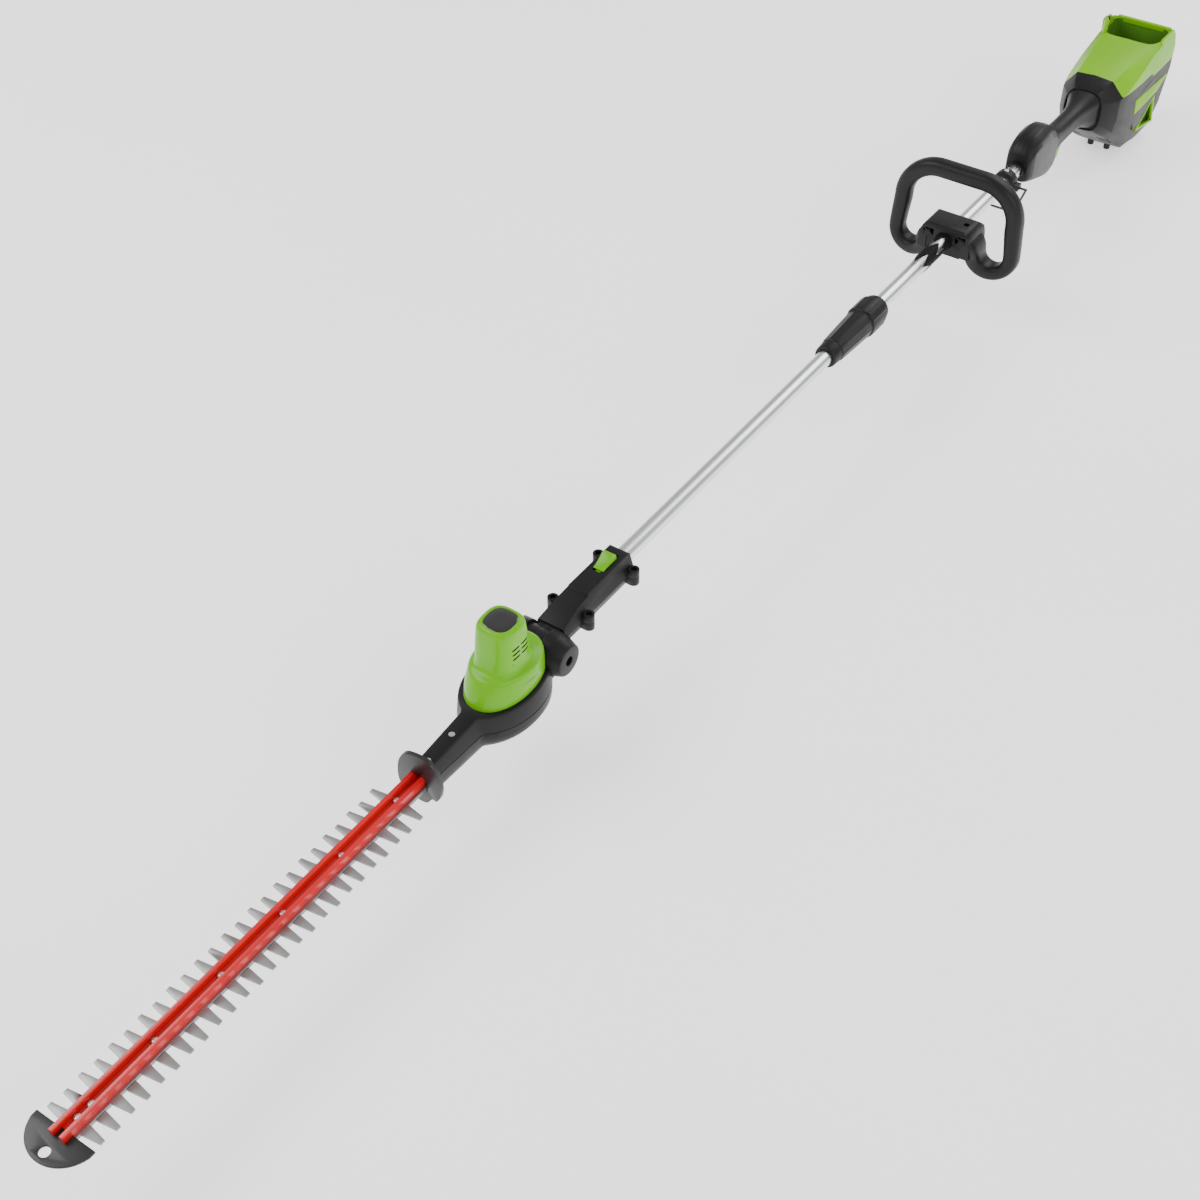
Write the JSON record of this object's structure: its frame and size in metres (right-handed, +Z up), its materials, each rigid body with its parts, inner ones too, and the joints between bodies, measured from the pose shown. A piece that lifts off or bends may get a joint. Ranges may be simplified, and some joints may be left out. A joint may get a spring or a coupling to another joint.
{
  "type": "pole hedge trimmer",
  "caption": "Battery pole hedge trimmer with a tilting double-blade cutting head, screw-joined shaft, loop handle and battery power head.",
  "frame": {"origin": "under the middle of the machine's length, on its mid-plane, level with the undersides of the feet below the power head", "axes": "+X along the shaft towards the blade tip, +Y to the user's left, +Z up"},
  "size_m": [2.78, 0.228, 0.257],
  "materials": {
    "guard_steel": "satin black",
    "bar_red": "satin red",
    "zinc": "zinc plated",
    "blade_steel": "ground",
    "steel": "machined",
    "dark_metal": "black oxide",
    "case_black": "fine texture",
    "cover_green": "polished",
    "shell_green": "satin",
    "badge": "polished",
    "cast": "die cast",
    "copper": "wound",
    "brass": "machined",
    "tube": "anodised satin",
    "lead": "matt",
    "grip_rubber": "matt",
    "panel_grey": "satin",
    "pcb": "solder mask",
    "switch": "satin"
  },
  "bodies": {
    "shaft": {"tongue_left": "case_black", "tongue_right": "case_black", "yoke_upper": "case_black", "yoke_lower": "case_black", "yoke_screws": "dark_metal", "latch_spring": "zinc", "front_tube": "tube", "rear_tube": "tube", "coupler_spigot": "cast", "threaded_ferrule": "dark_metal", "drive_lead": "lead", "strap_clamp": "case_black", "strap_bolt": "zinc", "housing_left": "case_black", "housing_right": "case_black", "trigger_pin": "zinc", "trigger_spring": "zinc", "power_switch": "switch", "head_shell": "case_black", "side_panels": "panel_grey", "bay_shell": "shell_green", "terminal_block": "case_black", "control_board": "pcb", "latch_pin": "zinc", "rubber_feet": "grip_rubber", "housing_screws": "dark_metal"},
    "head": {"tip_guard": "guard_steel", "cutter_bar": "bar_red", "bar_bolts": "zinc", "blade_bushes": "steel", "blade_washers": "zinc", "hand_guard": "case_black", "gearcase_upper": "case_black", "gearcase_lower": "case_black", "case_screws": "zinc", "crank_bearings": "steel", "motor_plate": "cast", "motor_can": "dark_metal", "motor_bearings": "steel", "motor_cover": "cover_green", "cover_badge": "badge", "pivot_bolt": "dark_metal", "pivot_nut": "zinc", "lock_wheel": "brass"},
    "crank": {"crank_gear": "steel"},
    "rotor": {"motor_rotor": "copper", "pinion": "brass"},
    "blade_upper": {"upper_blade": "blade_steel"},
    "blade_lower": {"lower_blade": "blade_steel"},
    "head_release": {"pivot_latch": "cover_green"},
    "collar_carrier": {"thrust_ring": "steel"},
    "collar": {"screw_collar": "case_black"},
    "loop": {"loop_handle": "case_black", "handle_clamp": "case_black", "handle_sleeve": "grip_rubber", "handle_screws": "dark_metal"},
    "sling_ring": {"strap_ring": "guard_steel"},
    "trigger_lever": {"trigger": "shell_green"},
    "lock_button": {"lock_off": "case_black"},
    "battery_catch": {"battery_latch": "case_black"}
  },
  "joints": [
    {"name": "head_tilt", "type": "hinge", "parent": "shaft", "child": "head", "pos_m": [0.565, 0, 0.137], "axis": [0, 1, 0], "range_deg": [-45, 90]},
    {"name": "crank_spin", "type": "hinge", "parent": "head", "child": "crank", "pos_m": [0.664, 0, 0.113], "axis": [0, 0, 1], "continuous": true},
    {"name": "rotor_spin", "type": "hinge", "parent": "head", "child": "rotor", "pos_m": [0.6325, 0, 0.15], "axis": [0, 0, 1], "continuous": true},
    {"name": "upper_blade_stroke", "type": "slide", "parent": "head", "child": "blade_upper", "axis": [1, 0, 0], "range_m": [-0.0065, 0.0065]},
    {"name": "lower_blade_stroke", "type": "slide", "parent": "head", "child": "blade_lower", "axis": [1, 0, 0], "range_m": [-0.0065, 0.0065]},
    {"name": "head_release_slide", "type": "slide", "parent": "shaft", "child": "head_release", "axis": [1, 0, 0], "range_m": [-0.008, 0], "stiffness_N_per_m": 400, "springref_m": 0.002},
    {"name": "collar_travel", "type": "slide", "parent": "shaft", "child": "collar_carrier", "axis": [1, 0, 0], "range_m": [0, 0.0062]},
    {"name": "collar_turn", "type": "hinge", "parent": "collar_carrier", "child": "collar", "pos_m": [-0.2, 0, 0.144], "axis": [1, 0, 0], "range_deg": [0, 720]},
    {"name": "loop_slide", "type": "slide", "parent": "shaft", "child": "loop", "axis": [1, 0, 0], "range_m": [-0.1, 0.1]},
    {"name": "sling_ring_swing", "type": "hinge", "parent": "shaft", "child": "sling_ring", "pos_m": [-0.776, 0, 0.139], "axis": [0, 1, 0], "range_deg": [-60, 60]},
    {"name": "trigger_pull", "type": "hinge", "parent": "shaft", "child": "trigger_lever", "pos_m": [-0.965, 0, 0.129], "axis": [0, 1, 0], "range_deg": [0, 12], "stiffness_Nm_per_rad": 0.6, "springref_deg": -11.46},
    {"name": "lock_off_push", "type": "slide", "parent": "shaft", "child": "lock_button", "axis": [0, 1, 0], "range_m": [0, 0.004], "stiffness_N_per_m": 500, "springref_m": -0.002},
    {"name": "battery_catch_tilt", "type": "hinge", "parent": "shaft", "child": "battery_catch", "pos_m": [-1.31, -0.0575, 0.162], "axis": [1, 0, 0], "range_deg": [0, 10], "stiffness_Nm_per_rad": 0.8, "springref_deg": -8.59}
  ],
  "couplings": [
    {"joint": "rotor_spin", "follows": "crank_spin", "ratio": -4},
    {"joint": "lower_blade_stroke", "follows": "upper_blade_stroke", "ratio": -1},
    {"joint": "collar_travel", "follows": "collar_turn", "m_per_rad": 0.0004775}
  ]
}
